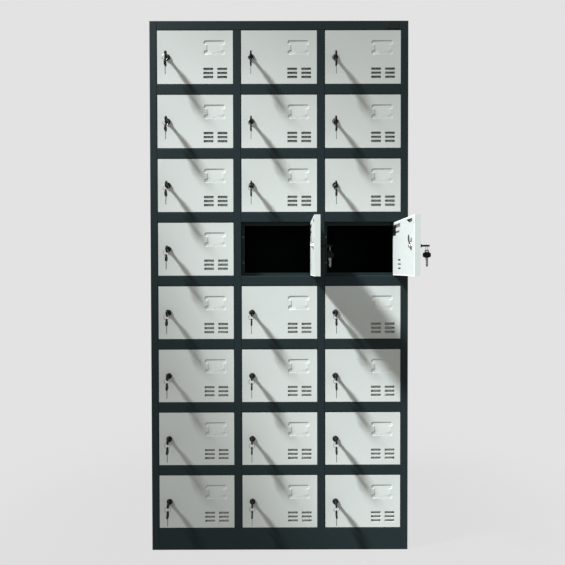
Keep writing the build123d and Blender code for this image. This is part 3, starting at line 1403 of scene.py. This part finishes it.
@dataclass
class CamLock:
    """A cam lock with its keys: the fixed barrel, what turns, and the moulded key heads.

    Depths are measured from the door's face, and a key's outlines run along it from its head's end.
    """

    layout: Layout
    bezel_radius: float = 10.5 * MM
    bezel: float = 3 * MM
    bezel_inner: tuple[Point2, ...] = mm((0, -1.2), (0, -0.25), (0.4, 0))
    bezel_outer: tuple[Point2, ...] = mm((-2.2, 0), (-0.9, -0.5), (-0.15, -1.5), (0, -2.2))
    bezel_seat: float = 0.05 * MM
    barrel_radius: float = 8 * MM
    thread_start: float = 1 * MM
    thread_pitch: float = 1.5 * MM
    thread_depth: float = 0.7 * MM
    thread_end: float = 0.8 * MM
    nut_half: float = 9.5 * MM
    nut_depth: Point2 = (18.9 * MM, 21 * MM)
    nut_edge: float = 0.5 * MM
    washer_radius: float = 10.9 * MM
    washer_depth: float = 18 * MM
    plug_radius: float = 5 * MM
    plug_gap: float = 0.2 * MM
    plug_inset: float = 0.4 * MM
    plug_chamfer: float = 0.5 * MM
    plug_cap: float = 4 * MM
    hub_depth: float = 21.4 * MM
    cam_depth: float = 24.8 * MM
    cam: float = 2 * MM
    cam_width: float = 13 * MM
    cam_reach: float = 34 * MM
    cam_end: float = 0.6 * MM
    crank: Point2 = (8 * MM, 17 * MM)
    screw_radius: float = 5.6 * MM
    screw_head: float = 2.6 * MM
    screw_edge: float = 0.4 * MM
    neck: float = 10 * MM
    collar_radius: float = 5.6 * MM
    collar_taper: float = 0.5 * MM
    collar_foot: Point2 = (0.15 * MM, 1 * MM)
    boss_inset: float = 0.6 * MM
    head: float = 24 * MM
    head_thickness: float = 5 * MM
    head_edge: float = 0.7 * MM
    bow: tuple[Point2, ...] = mm(
        (0, 4.4), (1.4, 5.8), (5.4, 5.8), (7.4, 6.8), (8.6, 9.6), (10.4, 11.6),
        (12.4, 12), (19, 12), (21, 11.2), (22.6, 8.2), (24, 5.6),
    )
    eye_middle: float = 4 * MM
    eye_half: Point2 = (2.2 * MM, 3.9 * MM)
    root_size: Point2 = (7 * MM, 11 * MM)
    root_corner: float = 1.5 * MM
    root_edge: float = 0.6 * MM
    root_share: float = 0.9
    blade_width: float = 7.6 * MM
    blade: float = 2 * MM
    blade_edge: float = 0.25 * MM
    blade_root: float = 4 * MM
    blade_length: float = 28 * MM
    blade_overlap: float = 0.3 * MM
    tip: float = 3 * MM
    tip_shares: Point2 = (-0.35, 0.2)
    shoulder: float = 5 * MM
    cuts: tuple[float, ...] = (0.55, 0.9, 0.4, 0.75, 0.5, 0.85)
    cut_share: float = 0.45
    ring_radius: float = 9.8 * MM
    ring_wire: float = 0.8 * MM
    ring_inset: float = 5.2 * MM
    ring_upright: Point2 = (0.0, -12.7 * MM)
    ring_flat: Point2 = (8 * MM, -6.7 * MM)
    spare_drop: float = 5.7 * MM
    spare_swing: float = 8.0

    def barrel(self) -> bpy.types.Mesh:
        """Make the bezel, the threaded barrel, its nut and its washer.

        Returns:
            The mesh.
        """
        maker = Maker("lock_barrel")
        top, outer, r = self.bezel, self.bezel_radius, self.barrel_radius
        inner = self.plug_radius + self.plug_gap
        face = [(inner + x, top + z) for x, z in self.bezel_inner]
        face += [(outer + x, top + z) for x, z in self.bezel_outer]
        face += [(outer, self.bezel_seat), (r, self.bezel_seat)]
        maker.lathe(face, ORIGIN, Finish.DARK_PLATE, 40)
        turns = math.ceil((self.hub_depth - self.thread_start) / self.thread_pitch) - 1
        levels = [-self.thread_start - self.thread_pitch * k for k in range(turns + 1)]
        groove = r - self.thread_depth
        thread = [p for z in levels[:-1] for p in ((r, z), (groove, z - self.thread_pitch / 2))]
        thread += [(r - self.thread_end, levels[-1]), (inner, levels[-1])]
        maker.lathe(thread, ORIGIN, Finish.NICKEL)
        corner = self.nut_half / math.cos(math.pi / 6)
        high, low = self.nut_depth
        maker.plate(oval(corner, corner, 6), ORIGIN, -low, -high, Finish.NICKEL, self.nut_edge)
        wide, seat = self.washer_radius, -self.washer_depth
        maker.lathe([(r, -high), (wide, -high), (wide, seat), (r, seat)], ORIGIN, Finish.NICKEL, 32)
        return maker.mesh()

    def _cam_line(self) -> list[Point3]:
        """The cam's course from its round hub over the crank to its round tip.

        Returns:
            Place along the cam, half width and level of each station.
        """
        w = self.cam_width / 2
        turns = [math.pi / 2 * k / 8 for k in range(9)]
        end = [(w * math.sin(a), max(w * math.cos(a), self.cam_end)) for a in turns]
        line = [(-y, half, -self.hub_depth) for y, half in reversed(end)]
        near, far = self.crank
        for k in range(7):
            drop = (self.cam_depth - self.hub_depth) * wall_step(k / 6 - 0.5, 1)
            line.append((near + (far - near) * k / 6, w, -self.hub_depth - drop))
        return line + [(self.cam_reach - w + y, half, -self.cam_depth) for y, half in end]

    def core(self, turned: bool) -> bpy.types.Mesh:
        """Make the metal that turns: plug, cam, screw, both keys' blades and the ring.

        Args:
            turned: whether the key lies flat instead of upright.

        Returns:
            The mesh.
        """
        maker = Maker("lock_core_flat" if turned else "lock_core_upright")
        p, hub, shallow = self.plug_radius, -self.hub_depth, self.bezel - self.plug_cap
        top = self.bezel - self.plug_inset
        face = [(0, top), (p - self.plug_chamfer, top), (p, top - self.plug_chamfer), (p, shallow)]
        maker.lathe(face, ORIGIN, Finish.DARK_PLATE)
        maker.lathe([(p, shallow), (p, hub), (0, hub)], ORIGIN, Finish.NICKEL)
        maker.strip(self._cam_line(), self.cam, Finish.NICKEL)
        screw = oval(self.screw_radius, self.screw_radius, 6)
        base = hub - self.cam
        maker.plate(screw, ORIGIN, base - self.screw_head, base, Finish.NICKEL, self.screw_edge)
        self._blade(maker, self._key_place(turned), self.neck + self.blade_overlap, False)
        self._blade(maker, self._spare_place(turned), self.blade_length, True)
        hub_place = self._ring_place(turned)
        path = [hub_place @ Vector((x, y, 0)) for x, y in oval(self.ring_radius, self.ring_radius, 40)]
        maker.hoop(path, self.ring_wire, Finish.BLADE)
        return maker.mesh()

    def heads(self, turned: bool) -> bpy.types.Mesh:
        """Make the moulded heads of the two keys, and the collar of the one in the lock.

        Args:
            turned: whether the key lies flat instead of upright.

        Returns:
            The mesh.
        """
        maker = Maker("key_heads_flat" if turned else "key_heads_upright")
        for place in (self._key_place(turned), self._spare_place(turned)):
            self._head(maker, place)
        b, c, boss = self.bezel, self.collar_radius, self.plug_radius - self.boss_inset
        sunk, low, high = b - self.plug_inset, b + self.collar_foot[0], b + self.collar_foot[1]
        collar = [(0, sunk), (boss, sunk), (boss, low), (c, low), (c, high)]
        collar += [(c - self.collar_taper, b + self.neck), (0, b + self.neck)]
        maker.lathe(collar, ORIGIN, Finish.BLACK)
        return maker.mesh(55.0)

    def _key_place(self, turned: bool) -> Matrix:
        """A key's place in the lock: x along the key from its head's end, z through its thickness."""
        across = Y if turned else X
        return axes((0, 0, self.bezel + self.neck + self.head), -Z, across.cross(-Z), across)

    def _ring_place(self, turned: bool) -> Matrix:
        """The ring's middle and plane."""
        x, y = self.ring_flat if turned else self.ring_upright
        return Matrix.Translation((x, y, self.bezel + self.neck + self.head - self.ring_inset))

    def _spare_place(self, turned: bool) -> Matrix:
        """The spare key's place, hanging from the ring and swung a little where the key lies flat.

        Args:
            turned: whether the key lies flat instead of upright.

        Returns:
            The place, laid out like the key's.
        """
        hub = self._ring_place(turned).translation
        swing = math.radians(self.spare_swing if turned else 0)
        z = Vector((math.cos(swing), 0, math.sin(swing)))
        return axes((hub.x, hub.y - self.spare_drop, hub.z), -Y, z.cross(-Y), z)

    def _blade(self, maker: Maker, place: Matrix, length: float, whole: bool) -> None:
        """Add a key's blade.

        Args:
            maker: the piece it is part of.
            place: the key's place.
            length: how far it stands out of the head.
            whole: whether its tip and cuts are seen.
        """
        w, start, end = self.blade_width / 2, self.head - self.blade_root, self.head + length
        if whole:
            low, high = self.tip_shares
            outline = [(start, -w), (end - self.tip, -w), (end, w * low), (end, w * high)]
            step = (length - self.tip - self.shoulder) / len(self.cuts)
            for i, cut in enumerate(self.cuts):
                x = end - self.tip - step * i
                outline += [(x, w * cut), (x - step * self.cut_share, w * cut)]
            outline += [(self.head + self.shoulder, w), (start, w)]
        else:
            outline = [(start, -w), (end, -w), (end, w), (start, w)]
        maker.plate(outline, place, -self.blade / 2, self.blade / 2, Finish.BLADE, self.blade_edge)

    def _head(self, maker: Maker, place: Matrix) -> None:
        """Add a key's moulded head: a rounded bow with an eye, and its root round the blade.

        Args:
            maker: the piece it is part of.
            place: the key's place.
        """
        outline = [*((x, -y) for x, y in self.bow), *reversed(self.bow)]
        eye = oval(*self.eye_half, 16, (self.eye_middle, 0.0))
        t = self.head_thickness / 2
        maker.plate(outline, place, -t, t, Finish.BLACK, self.head_edge, [eye])
        root = rounded(*self.root_size, self.root_corner, 3, (self.head - self.root_size[0] / 2, 0))
        t *= self.root_share
        maker.plate(root, place, -t, t, Finish.BLACK, self.root_edge)

    def build(self) -> None:
        """Make the lock's pieces once and put a set on every door."""
        barrel = self.barrel()
        cores = {turned: self.core(turned) for turned in (False, True)}
        heads = {turned: self.heads(turned) for turned in (False, True)}
        for row, column in self.layout.doors:
            tag = f"r{row}c{column}"
            at = self.layout.lock(row, column)
            turned = self.layout.turn(row, column) > 0
            place_piece(f"barrel_{tag}", barrel, f"door_{tag}", (), at)
            place_piece(f"lock_core_{tag}", cores[turned], f"lock_{tag}", [f"lock_{tag}"], at)
            place_piece(f"key_heads_{tag}", heads[turned], f"lock_{tag}", (), at)


# The studio


@dataclass(frozen=True)
class Fade:
    """A slanting edge of the veil: how much it dims, its slant, and where it starts and ends."""

    share: float
    slant: float
    start: float
    end: float


@dataclass
class Studio:
    """Floor, backdrop, lamps and camera."""

    layout: Layout
    backdrop: float = 0.767
    ambient: float = 0.366
    ambient_tint: Colour = (1.0, 0.957, 0.845)
    sun: float = 12.4
    sun_tint: Colour = (0.97, 1.015, 1.055)
    sun_angle: float = 6.5
    sun_way: Point3 = (3.8, 1.2, -4.8)
    liner_share: float = 0.54
    paper: float = 0.12
    floor_half: float = 30.0
    floor_share: float = 0.07
    floor_reach: Point2 = (0.6, 1.6)
    veil_half: float = 3.0
    veil_gap: float = 0.4
    veil_corner: Fade = Fade(0.67, 1.9, -0.1, 0.6)
    veil_top: Fade = Fade(0.52, 0.8, 1.3, 2.05)
    image: int = 565
    focal: float = 475.09
    sensor: float = 36.0
    centre: Point2 = (277.23, 276.36)
    eye: Point3 = (-0.01014, -1.87083, 0.98795)
    tilt: Point3 = (-0.0147, 0.0022, -0.0015)

    def build(self) -> None:
        """Make all of the studio but its lamps, which need the pieces."""
        self._world()
        self._floor()
        self._veil()
        self._camera()

    def _world(self) -> None:
        """Pale to the camera and in reflections, softer as a light."""
        world = bpy.data.worlds.new("studio")
        bpy.context.scene.world = world
        s = Shader(world)
        light = s.node("ShaderNodeBackground", Color=(*self.ambient_tint, 1.0), Strength=self.ambient)
        pale = s.node("ShaderNodeBackground", Color=grey(self.backdrop))
        s.node("ShaderNodeOutputWorld", Surface=s.blend(s.seen(), light, pale))

    def _sheet(self, name: str, size: float, finish: bpy.types.Material, at: Matrix) -> bpy.types.Object:
        """Make a flat square of the studio.

        Args:
            name: its name.
            size: half of its side.
            finish: its material.
            at: its place.

        Returns:
            The square.
        """
        bm = bmesh.new()
        bmesh.ops.create_grid(bm, x_segments=8, y_segments=8, size=size)
        mesh = bpy.data.meshes.new(name)
        bm.to_mesh(mesh)
        bm.free()
        mesh.materials.append(finish)
        made = bpy.data.objects.new(name, mesh)
        made.matrix_world = at
        bpy.context.scene.collection.objects.link(made)
        return made

    def _floor(self) -> None:
        """A plain pale floor that keeps a soft shadow near the locker."""
        s = Shader(bpy.data.materials.new("floor_paper"))
        paper = s.node("ShaderNodeBsdfDiffuse", Color=grey(self.paper))
        glow = s.node("ShaderNodeEmission", Color=grey(self.backdrop), Strength=1.0)
        place = s.out(s.node("ShaderNodeTexCoord"), "Object")
        reach = s.out(s.node("ShaderNodeVectorMath", {"operation": "LENGTH"}, **{"0": place}), "Value")
        near = 1 - s.band(reach, *self.floor_reach)
        share = 1 - s.seen() * (1 - self.floor_share * near)
        s.node("ShaderNodeOutputMaterial", Surface=s.blend(share, glow, paper))
        self._sheet("floor", self.floor_half, s.holder, ORIGIN)

    def _veil(self) -> None:
        """A thin veil up the light's way that dims it to the upper right and the lower left.

        Its own x and y are where the light that crosses it meets the locker's front.
        """
        s = Shader(bpy.data.materials.new("studio_veil"))
        place = s.node("ShaderNodeSeparateXYZ", Vector=s.out(s.node("ShaderNodeTexCoord"), "Object"))
        x, z = s.out(place, "X"), s.out(place, "Y")
        low, high = self.veil_corner, self.veil_top
        corner = low.share * (1 - s.band(z + low.slant * x, low.start, low.end))
        top = high.share * s.band(z + high.slant * x, high.start, high.end)
        clear = s.node("ShaderNodeBsdfTransparent", Color=grey(1.0))
        dark = s.node("ShaderNodeBsdfTransparent", Color=grey(0.0))
        s.node("ShaderNodeOutputMaterial", Surface=s.blend(corner.most(top), clear, dark))
        way = Vector(self.sun_way) / self.sun_way[1]
        at = axes(Vector((0.0, self.layout.front, 0.0)) - way * self.veil_gap, X, Z, -Y)
        veil = self._sheet("veil", self.veil_half, s.holder, at)
        for ray in ("camera", "diffuse", "glossy", "transmission"):
            setattr(veil, f"visible_{ray}", False)

    def lamps(self) -> None:
        """The grazing lamp at the upper left, and a weaker one there for the doors' inner sheets."""
        scene = bpy.context.scene
        liners = bpy.data.collections.new("inner_sheets")
        others = bpy.data.collections.new("all_but_inner_sheets")
        for piece in scene.collection.objects:
            if piece.name.startswith("liner_"):
                liners.objects.link(piece)
                others.objects.link(piece)
        for link in others.collection_objects:
            link.light_linking.link_state = "EXCLUDE"
        for name, share, lit in (("key_lamp", 1.0, others), ("inner_lamp", self.liner_share, liners)):
            lamp = bpy.data.lights.new(name, "SUN")
            lamp.energy = self.sun * share
            lamp.color = self.sun_tint
            lamp.angle = math.radians(self.sun_angle)
            holder = bpy.data.objects.new(name, lamp)
            holder.rotation_euler = Vector(self.sun_way).to_track_quat("-Z", "Y").to_euler()
            holder.light_linking.receiver_collection = lit
            scene.collection.objects.link(holder)

    def _camera(self) -> None:
        """The photograph's viewpoint."""
        lens = bpy.data.cameras.new("camera")
        lens.sensor_width = self.sensor
        lens.lens = self.focal * self.sensor / self.image
        lens.shift_x = (self.image / 2 - self.centre[0]) / self.image
        lens.shift_y = (self.centre[1] - self.image / 2) / self.image
        camera = bpy.data.objects.new("camera", lens)
        rx, ry, rz = self.tilt
        turn = Matrix.Rotation(rz, 3, "Z") @ Matrix.Rotation(ry, 3, "Y") @ Matrix.Rotation(rx, 3, "X")
        right, ahead, up = turn.col
        camera.matrix_world = axes(self.eye, right, up, -ahead)
        bpy.context.scene.collection.objects.link(camera)
        bpy.context.scene.camera = camera


def main() -> None:
    """Build the locker and its studio in order."""
    logging.basicConfig(level=logging.INFO, format="%(message)s")
    bpy.context.scene.view_settings.view_transform = "Standard"
    layout = Layout()
    studio = Studio(layout)
    studio.build()
    Carcass(layout).build()
    Leaf(layout).build()
    CamLock(layout).build()
    studio.lamps()


if __name__ == "__main__":
    main()
